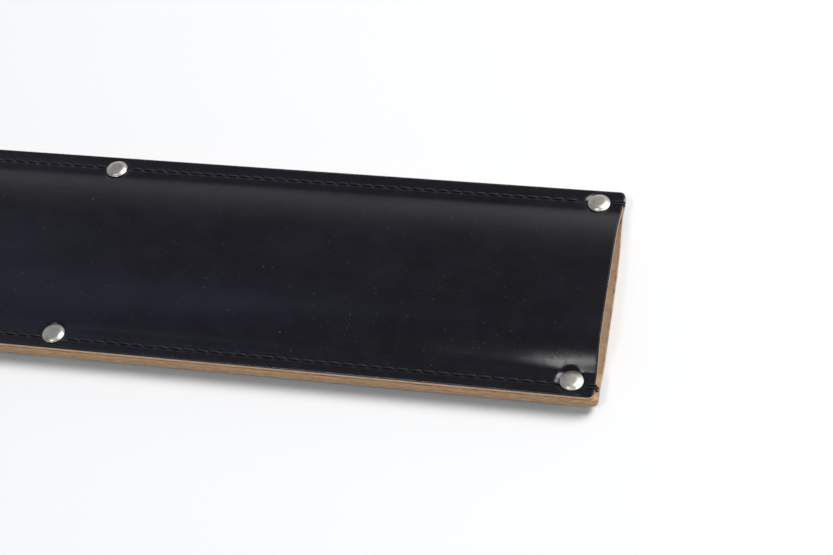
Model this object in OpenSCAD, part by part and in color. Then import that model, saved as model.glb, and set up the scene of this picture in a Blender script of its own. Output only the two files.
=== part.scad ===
// Leather blade guard for a 26 cm chef's knife
// Two moulded leather panels with welt strips between them, held along the seams by double cap rivets.
// Frame: +X to the mouth, +Y to the spine side, +Z up. Origin under the middle, on the resting surface.

/* [Guard] */
// Length from the mouth to the closed tip
guard_length = 275; // [250:5:320]
// Width across both long seams
guard_width = 79; // [76:1:90]
// How far the back panel and the welts reach past the front panel at the mouth
mouth_step = 1; // [0.4:0.1:2]
// Radius of the two mouth corners
mouth_corner = 1.5; // [1:0.1:4]
// Radius of the sweep from the cutting edge side up to the tip
tip_radius = 62; // [50:1:64]
// Radius of the corner between the spine side and the blunt end
tip_corner = 12; // [10:0.5:14]

/* [Leather] */
// Thickness of the front panel
front_leather = 1.6; // [1.2:0.1:2.4]
// Thickness of the back panel
back_leather = 1.6; // [1.2:0.1:2.4]
// Thickness of the welt strips
welt_thickness = 2; // [1.4:0.1:3]
// Width of the welt strips
welt_width = 9.5; // [9:0.1:10.5]

/* [Pocket] */
// Width of the flat seam margin on both panels
flat_margin = 8; // [7:0.1:9]
// Distance from the margin over which the front panel arches up
front_arch = 24; // [18:1:30]
// Distance from the margin over which the back panel sinks to its flat belly
back_arch = 14; // [10:0.5:18]
// Rise of the front panel's crown over its margin at the mouth
mouth_rise = 5.2; // [4:0.1:7]
// Share by which the mouth is higher on the cutting edge side and lower on the spine side
mouth_lean = 0.4; // [0:0.05:0.5]
// Rise of the front panel's crown over its margin at the tip
tip_rise = 2.8; // [2.4:0.1:3.6]
// Drop of the back panel's flat belly under its margin
belly_drop = 2.8; // [2.4:0.1:4]

/* [Rivets] */
// Diameter of the rivet caps
cap_d = 7; // [6:0.1:7.4]
// Height of a cap from its seat to the top of its dome
cap_h = 1.2; // [0.9:0.1:1.5]
// Height of a cap's straight rim
cap_rim = 0.45; // [0.3:0.05:0.6]
// Depth to which a cap is pressed into the leather
seat_depth = 0.4; // [0.2:0.1:0.6]
// Diameter of the rivet posts
post_d = 2.4; // [2:0.1:3]
// Depth of the socket in a back cap, which takes the end of the post
socket_depth = 0.7; // [0.5:0.05:0.8]
// Distance of the rivets from the long edges
rivet_inset = 5.3; // [4.6:0.1:5.6]
// Distance of the first rivets from the front panel's mouth edge
first_rivet = 7.2; // [6:0.1:12]
// Distance from the first rivets to the middle ones
rivet_spacing = 161; // [120:1:165]
// Distance of the last rivets from the closed end
last_rivet = 14; // [13:0.5:20]

/* [Hidden] */

grain_colour = "#1d2026";
raw_edge_colour = "#a1866d";
nickel_colour = "#c9c6bd";

// Gap round a post in its leather hole, in its socket, and round a cap in its seat
hole_gap = 0.1;
socket_gap = 0.03;
seat_gap = 0.1;

// Ends, sides and the centre of the tip sweep
half_width = guard_width / 2;
mouth_x = guard_length / 2;
front_mouth_x = mouth_x - mouth_step;
tip_x = -guard_length / 2;
sweep_x = tip_x + tip_radius;
sweep_y = tip_radius - half_width;
tip_corner_r = min(tip_corner, guard_width - tip_radius - 1);

// Heights of the layers in the seams
back_bottom = belly_drop;
back_top = back_bottom + back_leather;
welt_top = back_top + welt_thickness;
front_top = welt_top + front_leather;

// Places of the three rivets along each seam, from the mouth to the tip
rivet_x = [front_mouth_x - first_rivet, front_mouth_x - first_rivet - rivet_spacing, tip_x + last_rivet];

// Shape of an arch: how late it starts, and how soon it levels off
arch_ease = 0.1;
arch_power = 2.6;

// Facets of the panels: steps round the tip, along the straight, round a mouth corner, across an arch
tip_steps = 14;
straight_steps = 20;
corner_steps = 3;
arch_steps = 8;
// Distance over which the slope of the bulge is measured
probe = 0.05;
// How far a cutting tool reaches past what it cuts
past = 1;
$fn = 64;

// Inset of a side at a distance along it from an end whose corner has radius r
function corner_inset(along, r) = along >= r ? 0 : r - sqrt(r * r - (r - along) * (r - along));

// Side lines of a panel that ends at mouth
function spine_side(x, mouth) =
    half_width - max(corner_inset(x - tip_x, tip_corner_r), corner_inset(mouth - x, mouth_corner));
function edge_side(x, mouth) =
    max(corner_inset(x - tip_x, tip_radius), corner_inset(mouth - x, mouth_corner)) - half_width;

// Distance from the cutting edge side, round the sweep and up the blunt end
function sweep_distance(x, y) =
    x > sweep_x ? y + half_width
    : y > sweep_y ? x - tip_x
    : tip_radius - norm([x - sweep_x, y - sweep_y]);

// Share of its full height that an arch reaches at a distance from the edge:
// none on the flat margin, then steep, then levelling off
function arch(distance, width) =
    let (
        along = min(1, max(0, (distance - flat_margin) / width)),
        eased = along * along * (1 + arch_ease) / (along + arch_ease)
    )
    1 - pow(max(0, 1 - eased), arch_power);

// Share of the full bulge at a point of the plan: 0 on the margins, 1 in the middle
function bulge(x, y, width) = arch(half_width - y, width) * arch(sweep_distance(x, y), width);

// The front rises towards the mouth and leans there, and the back keeps one depth so that it lies flat
function mouth_share(x) = pow(min(1, max(0, (x - sweep_x) / (mouth_x - sweep_x))), 2);
function front_crown(x, y) =
    tip_rise + (mouth_rise * (1 - mouth_lean * y / half_width) - tip_rise) * mouth_share(x);
function front_height(x, y) = front_crown(x, y) * bulge(x, y, front_arch);
function back_height(x, y) = -belly_drop * bulge(x, y, back_arch);

// Upright thickness of leather that lies at a slope and is t thick square to its surface
function upright(t, slope_x, slope_y) = t * sqrt(1 + slope_x * slope_x + slope_y * slope_y);
function front_upright(x, y) =
    upright(front_leather,
        (front_height(x + probe, y) - front_height(x - probe, y)) / (2 * probe),
        (front_height(x, y + probe) - front_height(x, y - probe)) / (2 * probe));
function back_upright(x, y) =
    upright(back_leather,
        (back_height(x + probe, y) - back_height(x - probe, y)) / (2 * probe),
        (back_height(x, y + probe) - back_height(x, y - probe)) / (2 * probe));

// Stations along a panel: close together round the tip, even on the straight, close at the mouth corners
function stations(mouth) = concat(
    [for (i = [0 : tip_steps - 1]) tip_x + tip_radius * (1 - cos(90 * i / tip_steps))],
    [for (i = [0 : straight_steps - 1]) sweep_x + (mouth - mouth_corner - sweep_x) * i / straight_steps],
    [for (i = [0 : corner_steps]) mouth - mouth_corner * (1 - sin(90 * i / corner_steps))]
);

// Shares of the width, from the cutting edge side to the spine side, closer together where an arch starts
near_side = concat([0], [for (i = [0 : arch_steps]) flat_margin + front_arch * pow(i / arch_steps, 1.4)]);
shares = concat(
    [for (d = near_side) d / guard_width],
    [0.5],
    [for (i = [len(near_side) - 1 : -1 : 0]) 1 - near_side[i] / guard_width]
);

// The grid of plan points of a panel, row by row
function plan(mouth) = [
    for (x = stations(mouth)) for (share = shares)
        [x, edge_side(x, mouth) + (spine_side(x, mouth) - edge_side(x, mouth)) * share]
];

// A closed skin between an upper and a lower grid of the same rows and columns
module skin(upper, lower, rows, columns) {
    count = rows * columns;
    function at(row, column) = row * columns + column;
    upper_faces = [
        for (r = [0 : rows - 2]) for (c = [0 : columns - 2])
            each [[at(r, c), at(r, c + 1), at(r + 1, c + 1)], [at(r, c), at(r + 1, c + 1), at(r + 1, c)]]
    ];
    lower_faces = [for (face = upper_faces) [face[2] + count, face[1] + count, face[0] + count]];
    rim = concat(
        [for (c = [0 : columns - 2]) at(0, c)],
        [for (r = [0 : rows - 2]) at(r, columns - 1)],
        [for (c = [columns - 1 : -1 : 1]) at(rows - 1, c)],
        [for (r = [rows - 1 : -1 : 1]) at(r, 0)]
    );
    rim_faces = [
        for (i = [0 : len(rim) - 1])
            let (a = rim[i], b = rim[(i + 1) % len(rim)])
                each [[a, a + count, b + count], [a, b + count, b]]
    ];
    polyhedron(concat(upper, lower), concat(upper_faces, lower_faces, rim_faces));
}

// Where the seams carry a rivet: the y of the spine seam, and that of the cutting edge seam at x
spine_seam_y = half_width - rivet_inset;
function edge_seam_y(x) =
    x > sweep_x ? rivet_inset - half_width
    : sweep_y - sqrt(pow(tip_radius - rivet_inset, 2) - pow(x - sweep_x, 2));

// The six places of the rivets in plan
rivet_places = [for (x = rivet_x) each [[x, spine_seam_y], [x, edge_seam_y(x)]]];

// Holes for the rivet posts from one height to another
module post_holes(bottom, top) {
    for (place = rivet_places)
        translate([place[0], place[1], bottom]) cylinder(d = post_d + 2 * hole_gap, h = top - bottom);
}

// Round seats that the rivet caps press into the leather, from one height to another
module cap_seats(bottom, top) {
    for (place = rivet_places)
        translate([place[0], place[1], bottom]) cylinder(d = cap_d + 2 * seat_gap, h = top - bottom);
}

module front_panel() {
    points = plan(front_mouth_x);
    color(grain_colour)
    difference() {
        skin(
            [for (p = points) [p[0], p[1], front_top + front_height(p[0], p[1])]],
            [for (p = points) [p[0], p[1], front_top + front_height(p[0], p[1]) - front_upright(p[0], p[1])]],
            len(stations(front_mouth_x)), len(shares));
        post_holes(welt_top - past, front_top + past);
        cap_seats(front_top - seat_depth, front_top + past);
    }
}

module back_panel() {
    points = plan(mouth_x);
    color(grain_colour)
    difference() {
        skin(
            [for (p = points) [p[0], p[1], back_bottom + back_height(p[0], p[1]) + back_upright(p[0], p[1])]],
            [for (p = points) [p[0], p[1], back_bottom + back_height(p[0], p[1])]],
            len(stations(mouth_x)), len(shares));
        post_holes(back_bottom - past, back_top + past);
        cap_seats(back_bottom - past, back_bottom + seat_depth);
    }
}

// What is left outside a rounded corner at the origin, whose sides run along +X and +Y
module corner_cut(r) {
    difference() {
        translate([-past, -past]) square(r + past);
        translate([r, r]) circle(r);
    }
}

// Plan of the guard, drawn in by an inset along the sides and the closed end
module outline(inset) {
    difference() {
        translate([tip_x + inset, inset - half_width])
            square([guard_length - inset, guard_width - 2 * inset]);
        translate([tip_x + inset, inset - half_width]) corner_cut(tip_radius - inset);
        translate([tip_x + inset, half_width - inset]) mirror([0, 1]) corner_cut(tip_corner_r - inset);
    }
}

// A straight welt strip along y = 0, from a start to the mouth, with its outer corner at the mouth rounded
module straight_welt(start) {
    difference() {
        translate([start, 0]) square([mouth_x - start, welt_width]);
        translate([mouth_x, 0]) mirror([1, 0]) corner_cut(mouth_corner);
    }
}

// A welt is flat leather of one thickness, with the rivet holes punched through it
module welt() {
    color(raw_edge_colour)
    difference() {
        translate([0, 0, back_top]) linear_extrude(welt_thickness) children();
        post_holes(back_top - past, welt_top + past);
    }
}

module spine_welt() {
    welt() translate([0, half_width]) mirror([0, 1]) straight_welt(tip_x + tip_corner_r);
}

module edge_welt() {
    welt() translate([0, -half_width]) straight_welt(sweep_x);
}

// The curved welt runs from the end of the spine welt, down the blunt end and round the sweep
module tip_welt() {
    welt() difference() {
        outline(0);
        outline(welt_width);
        translate([tip_x + tip_corner_r, half_width - welt_width - past])
            square([guard_length, welt_width + 2 * past]);
        translate([sweep_x, -half_width - past]) square([guard_length, guard_width]);
    }
}

// A domed cap that stands on its seat: a straight rim under a low arc
module domed_cap() {
    dome_h = cap_h - cap_rim;
    dome_r = (pow(cap_d / 2, 2) + pow(dome_h, 2)) / (2 * dome_h);
    rotate_extrude()
    intersection() {
        square([cap_d / 2, cap_h]);
        translate([0, cap_h - dome_r]) circle(dome_r, $fn = 180);
    }
}

// Front half of a rivet: the cap that shows, with the post through all the layers
module rivet_post(place) {
    seat = front_top - seat_depth;
    foot = back_bottom + seat_depth - socket_depth + socket_gap;
    color(nickel_colour)
    translate([place[0], place[1], 0])
    union() {
        translate([0, 0, seat]) domed_cap();
        translate([0, 0, foot]) cylinder(d = post_d, h = seat - foot + cap_rim);
    }
}

// Back half of a rivet: the same cap turned over, with the socket that grips the post's end
module rivet_socket(place) {
    color(nickel_colour)
    translate([place[0], place[1], back_bottom + seat_depth])
    mirror([0, 0, 1])
    difference() {
        domed_cap();
        translate([0, 0, -past]) cylinder(d = post_d + 2 * socket_gap, h = socket_depth + past);
    }
}

front_panel();
back_panel();
spine_welt();
edge_welt();
tip_welt();
rivet_post(rivet_places[0]);  // mouth_spine_rivet_post
rivet_socket(rivet_places[0]);  // mouth_spine_rivet_socket
rivet_post(rivet_places[1]);  // mouth_edge_rivet_post
rivet_socket(rivet_places[1]);  // mouth_edge_rivet_socket
rivet_post(rivet_places[2]);  // middle_spine_rivet_post
rivet_socket(rivet_places[2]);  // middle_spine_rivet_socket
rivet_post(rivet_places[3]);  // middle_edge_rivet_post
rivet_socket(rivet_places[3]);  // middle_edge_rivet_socket
rivet_post(rivet_places[4]);  // tip_spine_rivet_post
rivet_socket(rivet_places[4]);  // tip_spine_rivet_socket
rivet_post(rivet_places[5]);  // tip_edge_rivet_post
rivet_socket(rivet_places[5]);  // tip_edge_rivet_socket
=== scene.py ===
# %% [markdown]
# # A leather blade guard
# The guard is two moulded panels of black grain leather with strips of raw leather between them,
# sewn and riveted along the seams. The construction is loaded first, as a fixed frame, and every
# visible surface is then worked out around it.

# %% Load the frame
import math
import bpy
import numpy as np
from mathutils import Matrix, Vector


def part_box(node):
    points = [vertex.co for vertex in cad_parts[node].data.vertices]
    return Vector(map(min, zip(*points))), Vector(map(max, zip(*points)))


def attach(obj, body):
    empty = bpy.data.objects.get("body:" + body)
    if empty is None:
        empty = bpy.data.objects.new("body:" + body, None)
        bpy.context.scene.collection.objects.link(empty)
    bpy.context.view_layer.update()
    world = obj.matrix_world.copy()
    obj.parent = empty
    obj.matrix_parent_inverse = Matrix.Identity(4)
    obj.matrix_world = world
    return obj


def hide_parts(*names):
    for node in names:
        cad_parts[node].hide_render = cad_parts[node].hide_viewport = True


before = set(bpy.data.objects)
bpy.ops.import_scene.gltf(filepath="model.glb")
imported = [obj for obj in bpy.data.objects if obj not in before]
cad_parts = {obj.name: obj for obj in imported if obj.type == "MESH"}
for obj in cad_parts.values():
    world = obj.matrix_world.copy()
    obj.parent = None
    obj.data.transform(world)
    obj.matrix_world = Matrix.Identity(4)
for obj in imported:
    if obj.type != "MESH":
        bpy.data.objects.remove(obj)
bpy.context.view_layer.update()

print("frame nodes:", len(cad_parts))

# %% [markdown]
# All sizes below are in millimetres, as a leather worker writes them, and become metres only when a
# mesh is made. The outer sizes come from the frame, so that the leather fits it. The rest are the
# cuts and thicknesses of the leather.

# %% Sizes
MM = 0.001


def node_mm(node):
    """Lowest and highest corner of a frame node, in millimetres."""
    low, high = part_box(node)
    return np.array(low) / MM, np.array(high) / MM


back_low, back_high = node_mm("back_panel")
welt_low, welt_high = node_mm("edge_welt")
front_high = node_mm("front_panel")[1]
half_width = back_high[1]
tip_x = back_low[0]
mouth_x = back_high[0]
front_mouth_x = front_high[0]
sweep_x = welt_low[0]                      # where the sweep up to the tip starts
tip_radius = sweep_x - tip_x
sweep_y = tip_radius - half_width
tip_corner = node_mm("spine_welt")[0][0] - tip_x
mouth_corner = 1.5
leather = 1.6                              # thickness of both panels
back_bottom = welt_low[2] - leather        # flat border of the back panel
front_top = welt_high[2] + leather         # and of the front panel
print("sweep starts at", round(float(sweep_x), 2), "and its radius is", round(float(tip_radius), 2))

# %% [markdown]
# The leather keeps the shape that a blade gives it: flat along the seams, steep just inside the
# stitches, then levelling off. One formula gives that arch, and the product of the arch from the
# spine side and the arch from the cutting edge side gives the whole panel.

# %% Shape of the panels
flat_margin = 8.0                          # width of the flat border along the seams
front_arch = 24.0                          # width over which the front panel levels off
back_arch = 14.0
arch_ease = 0.1
arch_power = 2.6
tip_rise = 2.8                             # crown of the front panel where the sweep starts
mouth_rise = 5.2                           # and at the mouth
mouth_lean = 0.4                           # share by which the mouth is higher on the cutting edge side
steep_reach = 22.0                         # how far from the mouth that side is steeper
steep_gain = 4.0                           # by levelling off over so much less width
steep_ease = 0.075                         # and by starting with less ease
belly_drop = back_bottom                   # the belly reaches down to the table


def arch(distance, width, ease=arch_ease):
    """Share of full height: t*t*(1+e)/(t+e) eases the start, and 1-(1-t)^power levels it off."""
    t = np.clip((distance - flat_margin) / width, 0, 1)
    eased = t * t * (1 + ease) / (t + ease)
    return 1 - np.maximum(0, 1 - eased) ** arch_power


def sweep_distance(x, y):
    """Distance inwards from the cutting edge side, round the tip's sweep and up the blunt end."""
    round_part = tip_radius - np.hypot(x - sweep_x, y - sweep_y)
    return np.where(x > sweep_x, y + half_width, np.where(y > sweep_y, x - tip_x, round_part))


def front_height(x, y):
    """Rise of the front panel over its border: the two arches times a crown that grows with the
    square of the way to the mouth, where it leans and is steeper on the cutting edge side."""
    share = np.clip((np.minimum(x, front_mouth_x) - sweep_x) / (mouth_x - sweep_x), 0, 1) ** 2
    crown = tip_rise + (mouth_rise * (1 - mouth_lean * y / half_width) - tip_rise) * share
    at_mouth = np.exp(-((x - mouth_x) / steep_reach) ** 2)
    edge_width = front_arch - steep_gain * at_mouth
    edge_arch = arch(sweep_distance(x, y), edge_width, arch_ease - steep_ease * at_mouth)
    return crown * arch(half_width - y, front_arch) * edge_arch


def back_height(x, y):
    """Drop of the back panel under its border: one depth, so that the belly lies flat."""
    return -belly_drop * arch(half_width - y, back_arch) * arch(sweep_distance(x, y), back_arch)


def corner_inset(along, r):
    """Inset of a side at a distance along it from an end whose corner has radius r."""
    rest = np.clip(r - along, 0, r)
    return r - np.sqrt(r * r - rest * rest)


def side_lines(x, mouth, inset):
    """The y of the cutting edge side and of the spine side at x, drawn in by an inset."""
    from_tip = x - tip_x - inset
    at_mouth = corner_inset(mouth - x - inset, mouth_corner)
    edge = np.maximum(corner_inset(from_tip, tip_radius - inset), at_mouth)
    spine = np.maximum(corner_inset(from_tip, tip_corner - inset), at_mouth)
    return inset - half_width + edge, half_width - inset - spine


print("crown at the mouth:", round(float(front_height(mouth_x, 0.0)), 2), "over the border")

# %% [markdown]
# The stitches follow a line drawn in from the outline, a little outside the rivets. A sewer marks it
# with a wheel, so the line is worked out as points, and the holes are even steps along it.

# %% The seam line
stitch_length = 4.15
first_hole = 1.6                           # from the mouth
spine_inset = 4.6                          # the stitches of the spine side, from its edge
edge_inset = 4.0                           # and those of the cutting edge side
straight_points = 400
corner_points = 60
sweep_points = 200


def straight_line(first_x, last_x, y):
    """Points of a straight seam between two distances along the guard."""
    return np.column_stack([np.linspace(first_x, last_x, straight_points), np.full(straight_points, y)])


def round_line(centre_x, centre_y, radius, first, last, count):
    """Points of a round seam: a circle's points between two angles in degrees."""
    turn = np.radians(np.linspace(first, last, count))
    return np.column_stack([centre_x + radius * np.cos(turn), centre_y + radius * np.sin(turn)])


def seam_paths():
    """The spine seam and the cutting edge seam as dense points, each from the mouth to the tip."""
    corner_x = tip_x + tip_corner
    corner_y = half_width - tip_corner
    spine = straight_line(front_mouth_x, corner_x, half_width - spine_inset)
    corner = round_line(corner_x, corner_y, tip_corner - spine_inset, 90, 180, corner_points)
    edge = straight_line(front_mouth_x, sweep_x, edge_inset - half_width)
    sweep = round_line(sweep_x, sweep_y, tip_radius - edge_inset, 270, 180, sweep_points)
    return np.vstack([spine, corner[1:]]), np.vstack([edge, sweep[1:]])


def even_steps(path, start, step):
    """Points at even steps along a path, from a start distance."""
    lengths = np.concatenate([[0], np.cumsum(np.hypot(*np.diff(path, axis=0).T))])
    at = np.arange(start, lengths[-1], step)
    return np.column_stack([np.interp(at, lengths, path[:, 0]), np.interp(at, lengths, path[:, 1])])


spine_path, edge_path = seam_paths()
spine_holes = even_steps(spine_path, first_hole, stitch_length)
edge_holes = even_steps(edge_path, first_hole, stitch_length)
holes = np.vstack([spine_holes, edge_holes])
rivet_nodes = [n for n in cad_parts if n.endswith("rivet_post")]
rivets = np.array([(node_mm(n)[0] + node_mm(n)[1])[:2] / 2 for n in rivet_nodes])
print("stitch holes:", len(holes), "rivets:", len(rivets))

# %% [markdown]
# The tight thread sinks into the leather and leaves a shallow groove, with a pit at each hole. The
# rivets were set with a press, which leaves a flat seat under each cap. These marks are depths that
# the panels take off their surface, so they are real shape and catch the light.

# %% Marks in the leather
groove_depth = 0.20
groove_width = 0.65
pit_depth = 0.16
pit_width = 0.9
pit_reach = 2.5                            # pits are worked out this near to the seam
seat_radius = 3.85
seat_softness = 0.22
ripple_depth = 0.05


def seam_distance(x, y):
    """Distance of a point from the nearer seam line. Each line keeps its inset from the outline."""
    return np.minimum(np.abs(half_width - y - spine_inset), np.abs(sweep_distance(x, y) - edge_inset))


def marks(x, y):
    """Depth of the seam's marks: exp(-(distance/width)^2) for the groove and for each hole's pit."""
    from_seam = seam_distance(x, y)
    near = from_seam < pit_reach
    points = np.column_stack([x[near], y[near]])
    depth = np.zeros(len(points))
    for hole in holes:
        depth += pit_depth * np.exp(-(((points - hole) ** 2).sum(axis=1)) / pit_width ** 2)
    pits = np.zeros_like(x)
    pits[near] = depth
    return groove_depth * np.exp(-(from_seam / groove_width) ** 2) + pits


def pressed(x, y):
    """Share by which a cap has pressed the leather flat: 1/(1+exp((r-radius)/softness)) round it."""
    share = np.zeros_like(x)
    for rivet in rivets:
        r = np.hypot(x - rivet[0], y - rivet[1])
        share = np.maximum(share, 1 / (1 + np.exp((r - seat_radius) / seat_softness)))
    return share


def ripples(x, y):
    """The slight unevenness of a hide: three long, low sine waves that cross each other."""
    first = np.sin(x / 17 + y / 31)
    second = 0.7 * np.sin(x / 9.3 - y / 13 + 1.3)
    third = 0.5 * np.sin(y / 7.1 + x / 41)
    return ripple_depth * (first + second + third)


print("deepest mark of a stitch:", round(float(marks(holes[:, 0], holes[:, 1]).max()), 2))

# %% [markdown]
# Every finish is a node tree. One function turns an sRGB hex value into Blender's linear colour, and
# one adds a node with its settings and links, so that each material reads as a short list.

# %% Helpers for finishes
def linear(hex_value):
    """Linear RGBA of an sRGB hex value, by the sRGB curve."""
    srgb = np.array([int(hex_value[i:i + 2], 16) / 255 for i in (1, 3, 5)])
    line = np.where(srgb <= 0.04045, srgb / 12.92, ((srgb + 0.055) / 1.055) ** 2.4)
    return (*line.tolist(), 1.0)


def add(tree, kind, inputs=None, **settings):
    """Add one node to a tree. An input is given a value or the socket that feeds it."""
    node = tree.nodes.new(kind)
    for name, value in settings.items():
        setattr(node, name, value)
    for name, value in (inputs or {}).items():
        if isinstance(value, bpy.types.NodeSocket):
            tree.links.new(value, node.inputs[name])
        else:
            node.inputs[name].default_value = value
    return node


def new_material(name):
    """A material with an empty tree, its output and a Principled shader."""
    material = bpy.data.materials.new(name)
    material.use_nodes = True
    tree = material.node_tree
    tree.nodes.clear()
    shader = add(tree, "ShaderNodeBsdfPrincipled")
    add(tree, "ShaderNodeOutputMaterial", {"Surface": shader.outputs["BSDF"]})
    return material, tree, shader


def ramp(tree, factor, stops):
    """A colour ramp fed by a factor, with (place, hex) stops."""
    node = add(tree, "ShaderNodeValToRGB", {"Fac": factor})
    elements = node.color_ramp.elements
    while len(elements) < len(stops):
        elements.new(0.5)
    for element, (place, hex_value) in zip(elements, stops):
        element.position = place
        element.color = linear(hex_value)
    return node.outputs["Color"]


def object_noise(tree, per_mm, detail, roughness, stretch=(1, 1, 1)):
    """Noise on Object coordinates, with a number of cells to the millimetre along each axis."""
    coordinates = add(tree, "ShaderNodeTexCoord")
    mapping = add(tree, "ShaderNodeMapping", {"Vector": coordinates.outputs["Object"],
                                              "Scale": stretch})
    noise = add(tree, "ShaderNodeTexNoise", {"Vector": mapping.outputs["Vector"],
                                             "Scale": per_mm / MM,
                                             "Detail": detail, "Roughness": roughness})
    return noise.outputs["Fac"]


def bump(tree, shader, height, strength, depth_mm, before=None):
    """Bump from a height, on top of an earlier bump."""
    inputs = {"Height": height, "Strength": strength, "Distance": depth_mm * MM}
    if before:
        inputs["Normal"] = before
    node = add(tree, "ShaderNodeBump", inputs)
    tree.links.new(node.outputs["Normal"], shader.inputs["Normal"])
    return node.outputs["Normal"]


# %% [markdown]
# The panels are full-grain cowhide, drum dyed blue-black and finished with wax. The finish gives a
# soft gloss: highlights are broad, and the pores show only in them. Dust sits in a few places, so
# it is added to the dye as pale specks.

# %% Black grain leather
def black_leather():
    """Dye mottled by a slow noise, dust where a fine noise peaks, and wax gloss that varies."""
    material, tree, shader = new_material("waxed_black_grain_leather")
    mottle = object_noise(tree, per_mm=0.05, detail=4.0, roughness=0.6)
    colour = ramp(tree, mottle, [(0.3, "#0f0f15"), (0.7, "#16161e")])
    dust = object_noise(tree, per_mm=1.1, detail=2.0, roughness=0.5)
    dust_spots = ramp(tree, dust, [(0.71, "#000000"), (0.78, "#5c6066")])
    lit = add(tree, "ShaderNodeMix", {"Factor": 0.5, "A": colour, "B": dust_spots},
              data_type="RGBA", blend_type="ADD")
    tree.links.new(lit.outputs["Result"], shader.inputs["Base Color"])
    scuffs = object_noise(tree, per_mm=0.12, detail=5.0, roughness=0.7)
    gloss = add(tree, "ShaderNodeMapRange", {"Value": scuffs, "From Min": 0.3, "From Max": 0.7,
                                             "To Min": 0.20, "To Max": 0.30})
    tree.links.new(gloss.outputs["Result"], shader.inputs["Roughness"])
    shader.inputs["IOR"].default_value = 1.45              # wax
    pore_noise = object_noise(tree, per_mm=1.6, detail=3.0, roughness=0.6)
    pores = bump(tree, shader, pore_noise, strength=0.20, depth_mm=0.08)
    swell_noise = object_noise(tree, per_mm=0.22, detail=2.0, roughness=0.5)
    bump(tree, shader, swell_noise, strength=0.15, depth_mm=0.25, before=pores)
    return material


# %% [markdown]
# A cut edge shows the raw tan fibre of the hide in layers, darker where the knife burnished it. The
# layers are a noise that changes seven times as fast upwards as along the cut. The flesh side, inside
# the guard, is the same tan with a short nap.

# %% Raw leather
layer_stretch = (1, 1, 7)


def raw_edge(name, dark, middle, light):
    """Raw fibre in layers, from the darkest to the lightest colour, with a rough surface."""
    material, tree, shader = new_material(name)
    layers = object_noise(tree, per_mm=0.35, detail=4.0, roughness=0.6, stretch=layer_stretch)
    colour = ramp(tree, layers, [(0.25, dark), (0.5, middle), (0.75, light)])
    tree.links.new(colour, shader.inputs["Base Color"])
    shader.inputs["Roughness"].default_value = 0.78
    bump(tree, shader, layers, strength=0.6, depth_mm=0.25)
    return material


def flesh_side():
    """Nap of the flesh side: one noise gives both its colour and its bumps."""
    material, tree, shader = new_material("flesh_side_of_leather")
    nap = object_noise(tree, per_mm=0.9, detail=5.0, roughness=0.7)
    colour = ramp(tree, nap, [(0.3, "#8f735c"), (0.7, "#b89b80")])
    tree.links.new(colour, shader.inputs["Base Color"])
    shader.inputs["Roughness"].default_value = 0.9
    bump(tree, shader, nap, strength=0.7, depth_mm=0.3)
    return material


# %% [markdown]
# The rivets are nickel-plated steel, tumbled to a soft shine. The thread is black waxed polyester,
# twisted from fine strands. Its wave pattern runs on the thread's own UV, so the twist follows it.

# %% Nickel and thread
def nickel():
    """Warm grey plating with slight wear in its colour and a fine unevenness."""
    material, tree, shader = new_material("nickel_plated_rivet")
    wear = object_noise(tree, per_mm=0.8, detail=4.0, roughness=0.6)
    colour = ramp(tree, wear, [(0.3, "#ccc7bb"), (0.7, "#e0dcd1")])
    tree.links.new(colour, shader.inputs["Base Color"])
    shader.inputs["Metallic"].default_value = 1.0
    shader.inputs["Roughness"].default_value = 0.38
    tumbled = object_noise(tree, per_mm=2.5, detail=3.0, roughness=0.6)
    bump(tree, shader, tumbled, strength=0.12, depth_mm=0.05)
    return material


def thread():
    """Slanted waves along the thread for its twist, in colour and in bumps."""
    material, tree, shader = new_material("waxed_black_thread")
    coordinates = add(tree, "ShaderNodeTexCoord")
    twist = add(tree, "ShaderNodeTexWave", {"Vector": coordinates.outputs["UV"], "Scale": 1.0,
                                            "Distortion": 0.4}, bands_direction="DIAGONAL")
    colour = ramp(tree, twist.outputs["Fac"], [(0.1, "#08090a"), (0.9, "#141518")])
    tree.links.new(colour, shader.inputs["Base Color"])
    shader.inputs["Roughness"].default_value = 0.55
    bump(tree, shader, twist.outputs["Fac"], strength=0.5, depth_mm=0.08)
    return material


grain_finish = black_leather()
edge_finish = raw_edge("raw_cut_panel_leather", "#ad8c70", "#caa687", "#dcbf9f")
welt_finish = raw_edge("raw_cut_welt_leather", "#8c6b50", "#b28d6c", "#caa984")
flesh_finish = flesh_side()
nickel_finish = nickel()
thread_finish = thread()
print("finishes:", len(bpy.data.materials))


# %% [markdown]
# A mesh is built from whole arrays of points and faces, which is quick and keeps each shape as one
# formula. The object stays at the origin: its place is in its mesh.

# %% Mesh helpers
def make_piece(name, points, faces, finishes, face_finish=None, uv=None):
    """A smooth mesh object from points in millimetres, with a finish for each face."""
    mesh = bpy.data.meshes.new(name)
    mesh.from_pydata((np.asarray(points) * MM).tolist(), [], np.asarray(faces).tolist())
    for finish in finishes:
        mesh.materials.append(finish)
    if face_finish is not None:
        mesh.polygons.foreach_set("material_index", np.asarray(face_finish, dtype=np.int32))
    mesh.polygons.foreach_set("use_smooth", np.ones(len(mesh.polygons), dtype=bool))
    if uv is not None:
        corners = np.empty(len(mesh.loops), dtype=np.int32)
        mesh.loops.foreach_get("vertex_index", corners)
        mesh.uv_layers.new(name="length").data.foreach_set("uv", np.asarray(uv)[corners].ravel())
    mesh.update()
    piece = bpy.data.objects.new(name, mesh)
    bpy.context.scene.collection.objects.link(piece)
    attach(piece, "root")
    return piece


def grid_faces(rows, columns, start=0):
    """Quads of a grid of points stored row by row."""
    index = start + np.arange(rows * columns).reshape(rows, columns)
    corners = [index[:-1, :-1], index[1:, :-1], index[1:, 1:], index[:-1, 1:]]
    return np.stack(corners, axis=-1).reshape(-1, 4)


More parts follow.
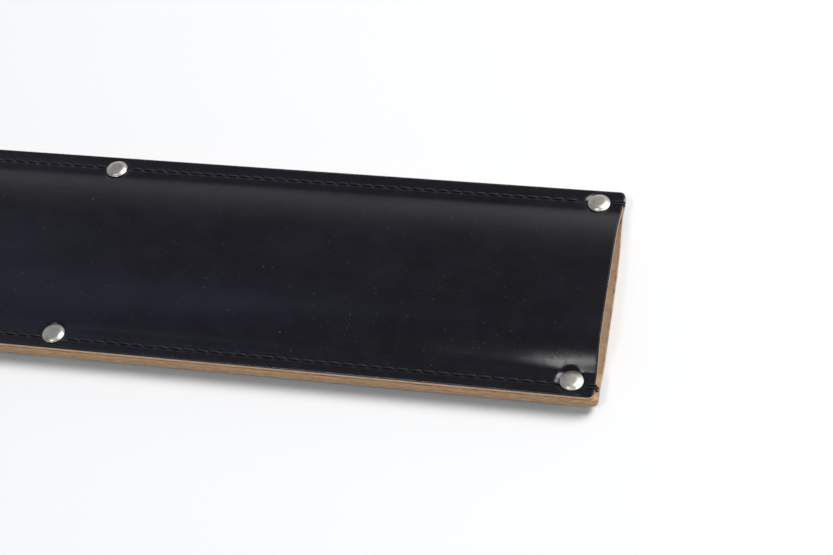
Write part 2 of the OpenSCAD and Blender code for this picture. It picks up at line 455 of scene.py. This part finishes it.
def ring_faces(first, second):
    """Quads between two closed rings of point numbers."""
    return np.stack([first, second, np.roll(second, -1), np.roll(first, -1)], axis=-1)


# %% [markdown]
# A panel starts as a grid over its outline. The grid has to follow both the round tip and the straight
# sides, so its rows crowd round the tip, and its columns crowd along the seams, where the marks are.

# %% Grid of a panel
arris = 0.5                                # radius of the rounded arris between grain side and cut
sweep_rows = 110
straight_rows = 320
corner_rows = 6
seam_band = 11.5                           # width with narrow columns along each seam
seam_column = 0.45
middle_columns = 46


def panel_stations(mouth):
    """Distances along the guard: by angle round the sweep, even on the straight, by angle at the mouth."""
    sweep_turn = np.radians(np.linspace(0, 90, sweep_rows))
    corner_turn = np.radians(np.linspace(0, 90, corner_rows))[1:]
    sweep = sweep_x - (tip_radius - arris) * np.cos(sweep_turn)
    straight = np.linspace(sweep_x, mouth - arris - mouth_corner, straight_rows)[1:]
    corner = mouth - arris - mouth_corner * (1 - np.sin(corner_turn))
    return np.concatenate([sweep, straight, corner])


def panel_shares():
    """Shares of the width: even narrow columns along both seams, and wider ones in the middle."""
    seam = np.arange(0, seam_band, seam_column) / (2 * half_width)
    middle = np.linspace(seam[-1], 1 - seam[-1], middle_columns)[1:-1]
    return np.concatenate([seam, middle, 1 - seam[::-1]])


def panel_plan(mouth):
    """The x and y of every grid point, from one side of the outline to the other in each row."""
    x = panel_stations(mouth)
    shares = panel_shares()
    low, high = side_lines(x, mouth, arris)
    plan_y = low[:, None] + (high - low)[:, None] * shares[None, :]
    return np.repeat(x[:, None], len(shares), axis=1), plan_y


print("grid of a panel:", panel_plan(mouth_x)[0].shape)

# %% [markdown]
# The grid gets two levels, one for the grain side and one for the flesh side. The leather has one
# thickness, measured square to its surface, so a steep place is thicker when measured straight down.

# %% Levels of a panel
slope_step = 0.05                          # for slopes by differences
seat_depth = 0.48                          # how far a rivet cap is pressed into the leather


def panel_levels(x, y, height, margin, side):
    """Grain side: border plus height, less the marks. Flesh side: thickness * sqrt(1 + slope^2) under."""
    shape = height(x, y)
    slope_x = (height(x + slope_step, y) - height(x - slope_step, y)) / (2 * slope_step)
    slope_y = (height(x, y + slope_step) - height(x, y - slope_step)) / (2 * slope_step)
    upright = leather * np.sqrt(1 + slope_x ** 2 + slope_y ** 2)
    waves = np.minimum(ripples(x, y), 0) * np.clip(np.abs(shape), 0, 1)
    flat = pressed(x, y)
    worn = (marks(x, y) - waves) * (1 - flat) + seat_depth * flat
    grain = np.minimum(margin + shape * (1 - flat) - side * worn, front_high[2])
    return grain, margin + shape - side * upright


# %% [markdown]
# The mouth of the front panel was cut with a slightly curved stroke, and the stroke trimmed the
# layers below at the spine corner too. Only what lies near the mouth moves back.

# %% Cut of the mouth
front_cut_x = mouth_x - 0.08               # the front panel's mouth at the spine corner
cut_reach = 20.0                           # what is cut back at the mouth fades out this far from it
cut_depth = 0.95
cut_turn = 6.0                             # width over which the cut falls back
cut_slant = 0.15
trim_width = 16.0                          # width over which the layers below were trimmed


def front_cut_back(y):
    """How far the front panel's cut falls back from its spine corner: quickly, then hardly more."""
    across = half_width - y
    return cut_depth * (1 - np.exp(-across / cut_turn)) + cut_slant * across / (2 * half_width)


def lower_cut_back(y):
    """The layers below were trimmed with the front panel at the spine corner, and less from there on."""
    across = half_width - y
    return front_cut_back(y) * np.exp(-(across / trim_width) ** 2)


print("front panel cut back by up to", round(float(front_cut_back(-half_width)), 2))

# %% [markdown]
# A panel is one closed sheet: the grain side as a fine grid, a rounded arris where the dye ran over
# the cut, the raw edge, and the flesh side. The dye covers the arris but not the cut below it.

# %% Panels
arris_turns = (25, 50, 72, 90)             # degrees of the points round the arris
dyed_bands = 3                             # bands of faces round the edge that the dye covers


def outer_ring(index):
    """The point numbers round the outside of a grid, as one closed ring."""
    return np.concatenate([index[0, :-1], index[:-1, -1], index[-1, :0:-1], index[:0:-1, 0]])


def outward_of(ring):
    """Unit directions away from a closed ring of (x, y) points: its tangent turned by a right angle."""
    ahead = np.roll(ring, -1, axis=0) - np.roll(ring, 1, axis=0)
    ahead /= np.linalg.norm(ahead, axis=1)[:, None]
    return np.column_stack([-ahead[:, 1], ahead[:, 0]])


def edge_steps(top, bottom, side, cut_share):
    """Way out and level at each step of the edge: round the arris, then down a share of the cut."""
    steps = []
    for turn in np.radians(arris_turns):
        steps.append((arris * np.sin(turn), top - side * arris * (1 - np.cos(turn))))
    for share in (0.5 * cut_share, cut_share):
        steps.append((arris, top - side * arris + (bottom - top + side * arris) * share))
    return steps


def panel_points(plan, grain, flesh, rim, steps):
    """All points of a panel: the grain side, a ring for each step of the edge, and the flesh side."""
    outward = outward_of(plan[rim])
    points = [np.column_stack([plan, grain])]
    for out, level in steps:
        points.append(np.column_stack([plan[rim] + outward * out, level]))
    points.append(np.column_stack([plan, flesh]))
    return np.vstack(points)


def panel_faces(shape, rim, ring_count):
    """All faces of a panel and the finish of each: 0 for grain, 1 for the cut and 2 for flesh."""
    size = shape[0] * shape[1]
    flesh_start = size + ring_count * len(rim)
    rings = [size + k * len(rim) + np.arange(len(rim)) for k in range(ring_count)]
    rings = [rim] + rings + [flesh_start + rim]
    bands = [ring_faces(a, b) for a, b in zip(rings[:-1], rings[1:])]
    grain_faces = grid_faces(*shape)
    flesh_faces = grid_faces(*shape, flesh_start)[:, ::-1]
    dyed = len(grain_faces) + dyed_bands * len(rim)
    raw = (len(bands) - dyed_bands) * len(rim)
    finish = np.repeat([0, 1, 2], [dyed, raw, len(flesh_faces)])
    return np.vstack([grain_faces] + bands + [flesh_faces]), finish


def build_panel(name, node, mouth, cut_back, height, margin, side, cut_share):
    """A panel whose grain side faces up (side 1) or down (side -1), with its mouth cut back as given,
    and its edge square down to a share of its depth."""
    plan_x, plan_y = panel_plan(mouth)
    grain, flesh = panel_levels(plan_x, plan_y, height, margin, side)
    plan = np.column_stack([plan_x.ravel(), plan_y.ravel()])
    rim = outer_ring(np.arange(len(plan)).reshape(plan_x.shape))
    steps = edge_steps(grain.ravel()[rim], flesh.ravel()[rim], side, cut_share)
    points = panel_points(plan, grain.ravel(), flesh.ravel(), rim, steps)
    near_mouth = np.clip((points[:, 0] - mouth + cut_reach) / cut_reach, 0, 1)
    points[:, 0] -= near_mouth * cut_back(points[:, 1])
    faces, finish = panel_faces(plan_x.shape, rim, len(steps))
    if side < 0:
        faces = faces[:, ::-1]
    cut_finish = edge_finish if side > 0 else welt_finish
    piece = make_piece(name, points, faces, [grain_finish, cut_finish, flesh_finish], finish)
    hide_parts(node)
    print(name, "faces:", len(faces))


front_cut_share = 0.6
back_cut_share = 0.88
build_panel("front_leather", "front_panel", front_cut_x, front_cut_back, front_height, front_top,
            1, front_cut_share)
build_panel("back_leather", "back_panel", mouth_x, lower_cut_back, back_height, back_bottom,
            -1, back_cut_share)

# %% [markdown]
# The welts are flat strips of raw leather. The frame has the exact shape of two, which only get their
# finish. The spine welt is trimmed at the mouth like the back panel, so it is made again.

# %% Welts
for node in ("edge_welt", "tip_welt"):
    for slot in bpy.data.objects[node].material_slots:
        slot.material = welt_finish

end_points = 24                            # points across the mouth end of the spine welt
low, high = node_mm("spine_welt")
end_y = np.linspace(low[1], high[1], end_points)
end_x = mouth_x - corner_inset(high[1] - end_y, mouth_corner) - lower_cut_back(end_y)
tip_end = np.column_stack([np.full(end_points, low[0]), end_y])
plan = np.vstack([tip_end, np.column_stack([end_x, end_y])])
levels = np.repeat([low[2], high[2]], 2 * end_points)
points = np.column_stack([np.vstack([plan, plan]), levels])
underside = grid_faces(2, end_points)
rim = np.concatenate([np.arange(end_points), np.arange(2 * end_points - 1, end_points - 1, -1)])
faces = np.vstack([underside[:, ::-1], underside + 2 * end_points, ring_faces(rim, rim + 2 * end_points)])
spine_welt = make_piece("spine_welt_leather", points, faces, [welt_finish])
spine_welt.data.polygons.foreach_set("use_smooth", np.zeros(len(faces), dtype=bool))
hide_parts("spine_welt")
print("spine welt:", np.round(high - low, 2), "mm")


# %% [markdown]
# A rivet cap is pressed from thin sheet: its rim rolls under, and its top is a low dome. The half
# section is turned round the axis, and the post or the socket is part of the same section.

# %% Rivets
cap_radius = 3.5
cap_height = 1.2
dome_points = 22
dome_drop = 0.62                           # from the middle of the dome to where the rim starts
dome_power = 4.2                           # the higher, the flatter the middle
rim_radius = 0.35
rim_flatness = 0.55                        # height of the rolled rim as a share of its width
rim_points = 6
cap_edge = 0.08                            # level where the upright side of the cap ends
cap_tuck = 0.1                             # and how far it turns in below
post_radius = 1.2
post_chamfer = 0.15
socket_radius = 1.23
socket_depth = 0.7
axis_gap = 1e-4                            # keeps the points at the axis apart
turned_sides = 72


def turned(section, centre):
    """Points and quads of a section of (radius, height) pairs turned round an upright axis."""
    turn = np.linspace(0, 2 * np.pi, turned_sides, endpoint=False)
    radius, level = np.array(section).T
    x = centre[0] + radius[:, None] * np.cos(turn)
    y = centre[1] + radius[:, None] * np.sin(turn)
    z = np.repeat(level[:, None], turned_sides, axis=1)
    index = np.arange(len(section) * turned_sides).reshape(len(section), turned_sides)
    ahead = np.roll(index, -1, axis=1)
    faces = np.stack([index[:-1], ahead[:-1], ahead[1:], index[1:]], axis=-1).reshape(-1, 4)
    return np.column_stack([x.ravel(), y.ravel(), z.ravel()]), faces


def cap_section(inner_radius):
    """From the axis over the dome, height - drop * share^power, round the rim and in under the cap."""
    flat = cap_radius - rim_radius
    dome = [(flat * s + axis_gap, cap_height - dome_drop * s ** dome_power)
            for s in np.linspace(0, 1, dome_points)]
    rim_level = cap_height - dome_drop - rim_radius * rim_flatness
    rim = [(flat + rim_radius * math.sin(a), rim_level + rim_radius * rim_flatness * math.cos(a))
           for a in np.radians(np.linspace(15, 90, rim_points))]
    return dome + rim + [(cap_radius, cap_edge), (cap_radius - cap_tuck, 0.0), (inner_radius, 0.0)]


def rivet_half(node, section, centre, level, side):
    """Half a rivet with its cap's underside at a level, facing up (side 1) or down (side -1)."""
    points, faces = turned([(r, level + side * z) for r, z in section], centre)
    if side > 0:
        faces = faces[:, ::-1]
    piece = make_piece(node + "_cap", points, faces, [nickel_finish])
    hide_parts(node)


for post_node in rivet_nodes:
    low, high = node_mm(post_node)
    centre = (low + high)[:2] / 2
    seat = high[2] - cap_height
    foot = low[2] - seat
    post = [(post_radius, foot + post_chamfer), (post_radius - post_chamfer, foot), (axis_gap, foot)]
    rivet_half(post_node, cap_section(post_radius) + post, centre, seat, 1)
    socket_node = post_node.replace("post", "socket")
    socket = [(socket_radius, socket_depth), (axis_gap, socket_depth)]
    rivet_half(socket_node, cap_section(socket_radius) + socket, centre, node_mm(socket_node)[1][2], -1)
print("rivets made:", len(rivet_nodes))


# %% [markdown]
# The thread is a round tube carried along a path. Its UV runs along its length in millimetres and
# round it, so that the twist of its finish keeps one scale on every stitch.

# %% Thread
thread_radius = 0.32
thread_sides = 8


def tube(path):
    """Points, quads and UV of a tube of thread along a path of points in space."""
    ahead = np.gradient(path, axis=0)
    ahead /= np.linalg.norm(ahead, axis=1)[:, None]
    side = np.cross(ahead, [0.0, 0.0, 1.0])
    side /= np.maximum(np.linalg.norm(side, axis=1), 1e-6)[:, None]
    up = np.cross(side, ahead)
    turn = np.linspace(0, 2 * np.pi, thread_sides, endpoint=False)
    ring = np.cos(turn)[None, :, None] * side[:, None, :] + np.sin(turn)[None, :, None] * up[:, None, :]
    points = (path[:, None, :] + thread_radius * ring).reshape(-1, 3)
    index = np.arange(len(path) * thread_sides).reshape(len(path), thread_sides)
    beside = np.roll(index, -1, axis=1)
    quads = np.stack([index[:-1], index[1:], beside[1:], beside[:-1]], axis=-1).reshape(-1, 4)
    length = np.concatenate([[0], np.cumsum(np.linalg.norm(np.diff(path, axis=0), axis=1))])
    uv = np.column_stack([np.repeat(length, thread_sides), np.tile(turn / (2 * np.pi) * 2, len(path))])
    return points, quads, uv


def joined(tubes):
    """Several tubes as one, each tube's point numbers counted on from those before it."""
    starts = np.cumsum([0] + [len(points) for points, quads, uv in tubes])
    points = np.vstack([tube_points for tube_points, quads, uv in tubes])
    faces = np.vstack([quads + start for (tube_points, quads, uv), start in zip(tubes, starts)])
    return points, faces, np.vstack([uv for tube_points, quads, uv in tubes])


print("thread is", 2 * thread_radius, "mm thick")

# %% [markdown]
# The last stitch of a seam leaves the leather at the mouth: two strands come from under the rivet
# cap, bend over the cut and go back underneath. Their route is a few bends, softened by averaging
# each point with its neighbours.

# %% Loops over the mouth
strand_offset = 0.5                        # of each strand from the seam line
loop_points = 90
loop_softening = 4                         # rounds of averaging


def mouth_loop(y, strand):
    """A strand's route in x and z: along the grain, down over both layers of the cut, and back."""
    start = front_mouth_x - 3.0
    cut = front_cut_x - front_cut_back(y)
    over = min(cut + 0.25, mouth_x - thread_radius)
    end = mouth_x - lower_cut_back(y) - thread_radius
    on_top = [(start, front_top - 0.35), (start + 0.6, front_top - 0.05), (over - 0.5, front_top + 0.08)]
    over_cut = [(over, front_top - 0.35), (over, welt_high[2] + 0.6), (end, welt_high[2] - 0.1)]
    below = [(end, back_bottom + 0.3), (end - 0.5, back_bottom - 0.1), (start, back_bottom + 0.3)]
    bends = np.array(on_top + over_cut + below)
    even = np.linspace(0, len(bends) - 1, loop_points)
    route = np.column_stack([np.interp(even, np.arange(len(bends)), bends[:, i]) for i in (0, 1)])
    for _ in range(loop_softening):
        route[1:-1] = (route[:-2] + 2 * route[1:-1] + route[2:]) / 4
    return tube(np.column_stack([route[:, 0], np.full(loop_points, y + strand), route[:, 1]]))


for seam, y in (("spine", half_width - spine_inset), ("edge", edge_inset - half_width)):
    points, faces, uv = joined([mouth_loop(y, -strand_offset), mouth_loop(y, strand_offset)])
    loop = make_piece(f"{seam}_mouth_loop_thread", points, faces, [thread_finish], uv=uv)
    print(loop.name, "faces:", len(faces))

# %% [markdown]
# The seams are lockstitched: on each side one thread lies in the groove and dives at every hole,
# where it locks with the thread of the other side. Under a rivet cap no stitch shows.

# %% Rows of stitches
stitch_points = 11
hole_share = 0.06                          # share of a stitch that each hole hides
stitch_rise = 0.5                          # how far the thread rises out of its holes
hole_depth = 0.52                          # how deep the middle of the thread is in a hole
cap_cover = 4.9                            # a stitch whose middle is nearer to a rivet is hidden


def stitch_row(holes_of_row, margin, side):
    """Tubes from hole to hole, each rising with the root of a sine; none under a rivet cap."""
    share = np.linspace(0, 1, stitch_points)
    lift = stitch_rise * np.sin(np.pi * share) ** 0.5 - hole_depth
    tubes = []
    for a, b in zip(holes_of_row[:-1], holes_of_row[1:]):
        if np.min(np.hypot(*(rivets - (a + b) / 2).T)) < cap_cover:
            continue
        plan = a + (b - a) * (hole_share + (1 - 2 * hole_share) * share)[:, None]
        tubes.append(tube(np.column_stack([plan, margin + side * lift])))
    return joined(tubes)


for seam, seam_holes in (("spine", spine_holes), ("edge", edge_holes)):
    for face_name, margin, side in (("front", front_top, 1), ("back", back_bottom, -1)):
        points, faces, uv = stitch_row(seam_holes, margin, side)
        row = make_piece(f"{seam}_seam_{face_name}_thread", points, faces, [thread_finish], uv=uv)
        print(row.name, "faces:", len(faces))

# %% [markdown]
# The part lies on a plain white table. Far from the part, the table turns into the white of the
# background, for the eye and for reflections alone, so that no horizon shows from any side.

# %% Floor
white = linear("#fafbfc")
table_reach = 4.0                          # metres from the middle to each side of the table
fade_start = 0.3                           # metres from the middle, where the table starts to fade
fade_end = 0.9                             # and where it has become the background's white
corners = [(-1, -1), (1, -1), (1, 1), (-1, 1)]
floor_mesh = bpy.data.meshes.new("floor")
floor_mesh.from_pydata([(x * table_reach, y * table_reach, 0) for x, y in corners], [], [(0, 1, 2, 3)])
floor = bpy.data.objects.new("floor", floor_mesh)
bpy.context.scene.collection.objects.link(floor)


def seen_rays(tree):
    """1 for the rays of the camera, of reflections and of glass, 0 for those that carry light."""
    rays = add(tree, "ShaderNodeLightPath")
    seen = rays.outputs["Is Camera Ray"]
    for kind in ("Is Glossy Ray", "Is Transmission Ray"):
        both = add(tree, "ShaderNodeMath", {0: seen, 1: rays.outputs[kind]}, operation="MAXIMUM")
        seen = both.outputs["Value"]
    return seen


def table_material():
    """Matt white near the part, changing smoothly into the background's white further out."""
    material, tree, shader = new_material("matt_white_table")
    shader.inputs["Base Color"].default_value = white
    shader.inputs["Roughness"].default_value = 0.8
    place = add(tree, "ShaderNodeTexCoord").outputs["Object"]
    radius = add(tree, "ShaderNodeVectorMath", {0: place}, operation="LENGTH").outputs["Value"]
    far = add(tree, "ShaderNodeMapRange", {"Value": radius, "From Min": fade_start, "From Max": fade_end},
              interpolation_type="SMOOTHSTEP").outputs["Result"]
    factor = add(tree, "ShaderNodeMath", {0: far, 1: seen_rays(tree)}, operation="MULTIPLY")
    glow = add(tree, "ShaderNodeEmission", {"Color": white, "Strength": 1.0})
    mixed = add(tree, "ShaderNodeMixShader", {0: factor.outputs["Value"], 1: shader.outputs["BSDF"],
                                              2: glow.outputs["Emission"]})
    output = next(node for node in tree.nodes if node.type == "OUTPUT_MATERIAL")
    tree.links.new(mixed.outputs["Shader"], output.inputs["Surface"])
    return material


floor_mesh.materials.append(table_material())
print("table fades out from", fade_start, "to", fade_end, "m")

# %% [markdown]
# Waxed leather is a dark mirror, so each softbox stands where its reflection belongs: the far one
# behind the far right corner throws the soft shadow, the near one lights the dip at the rivet, and
# a cool one lies in the leather of the closed end.

# %% Lamps
lamp_distance = 2.5                        # metres


def softbox(name, direction, degrees, radiance, tint="#ffffff"):
    """A square lamp towards a direction, as wide as an angle. Its power is pi * size^2 * radiance, where
    a radiance of 1 is the white of the background."""
    data = bpy.data.lights.new(name, "AREA")
    data.size = 2 * lamp_distance * math.tan(math.radians(degrees / 2))
    data.energy = math.pi * data.size ** 2 * radiance
    data.color = linear(tint)[:3]
    lamp = bpy.data.objects.new(name, data)
    bpy.context.scene.collection.objects.link(lamp)
    towards = Vector(direction).normalized()
    lamp.location = towards * lamp_distance
    lamp.rotation_euler = towards.to_track_quat("Z", "Y").to_euler()
    print(name, "is", round(data.size, 2), "m wide")


softbox("far_right_softbox", (0.52, 0.28, 0.81), degrees=27, radiance=11.7)
softbox("near_softbox", (-0.18, -0.53, 0.83), degrees=9, radiance=23.0)
softbox("cool_left_softbox", (-0.50, 0.30, 0.81), degrees=28, radiance=0.40, tint="#c4d4ff")

# %% [markdown]
# The rest of the light is the room. It is brightest low down and falls off upwards, and on the far
# side it stays bright up to a greater height, which gives the pale band along the spine side. The
# camera itself sees plain white.

# %% World
world = bpy.data.worlds.new("studio")
bpy.context.scene.world = world
world.use_nodes = True
sky = world.node_tree
sky.nodes.clear()
direction = add(sky, "ShaderNodeTexCoord")
split = add(sky, "ShaderNodeSeparateXYZ", {"Vector": direction.outputs["Generated"]})
reach = add(sky, "ShaderNodeMapRange", {"Value": split.outputs["Y"], "From Min": -0.5, "From Max": 0.1,
                                        "To Min": 0.35, "To Max": 0.68})
dimming = add(sky, "ShaderNodeMapRange", {"Value": split.outputs["Z"], "From Min": 0.15,
                                          "From Max": reach.outputs["Result"],
                                          "To Min": 0.75, "To Max": 0.12})
eye = add(sky, "ShaderNodeLightPath").outputs["Is Camera Ray"]
strength = add(sky, "ShaderNodeMix", {"Factor": eye, "A": dimming.outputs["Result"], "B": 1.0},
               data_type="FLOAT")
background = add(sky, "ShaderNodeBackground", {"Color": white, "Strength": strength.outputs["Result"]})
add(sky, "ShaderNodeOutputWorld", {"Surface": background.outputs["Background"]})
print("world nodes:", len(sky.nodes))

# %% [markdown]
# The camera stands where the photograph was taken from: to the right of the guard, on the cutting
# edge side, looking down and a little to the left, with the camera tilted clockwise. Its axes are
# worked out from three angles, as a photographer turns, tips and tilts a camera.

# %% Camera
camera_place = Vector((178.1, -311.4, 413.0)) * MM
heading = math.radians(18.04)
pitch = math.radians(51.14)
roll = math.radians(-9.62)
forward = Vector((-math.sin(heading) * math.cos(pitch),
                  math.cos(heading) * math.cos(pitch),
                  -math.sin(pitch)))
level_right = Vector((math.cos(heading), math.sin(heading), 0))
level_up = level_right.cross(forward)
right = math.cos(roll) * level_right + math.sin(roll) * level_up
up = math.cos(roll) * level_up - math.sin(roll) * level_right
camera_data = bpy.data.cameras.new("camera")
camera_data.lens = 72.86
camera_data.sensor_width = 36
camera_data.clip_start = 0.01
camera = bpy.data.objects.new("camera", camera_data)
bpy.context.scene.collection.objects.link(camera)
turned_axes = Matrix((right, up, -forward)).transposed().to_4x4()
camera.matrix_world = Matrix.Translation(camera_place) @ turned_axes
bpy.context.scene.camera = camera
bpy.context.scene.view_settings.view_transform = "Standard"
print("camera is", round(camera_place.length, 2), "m from the middle of the guard")
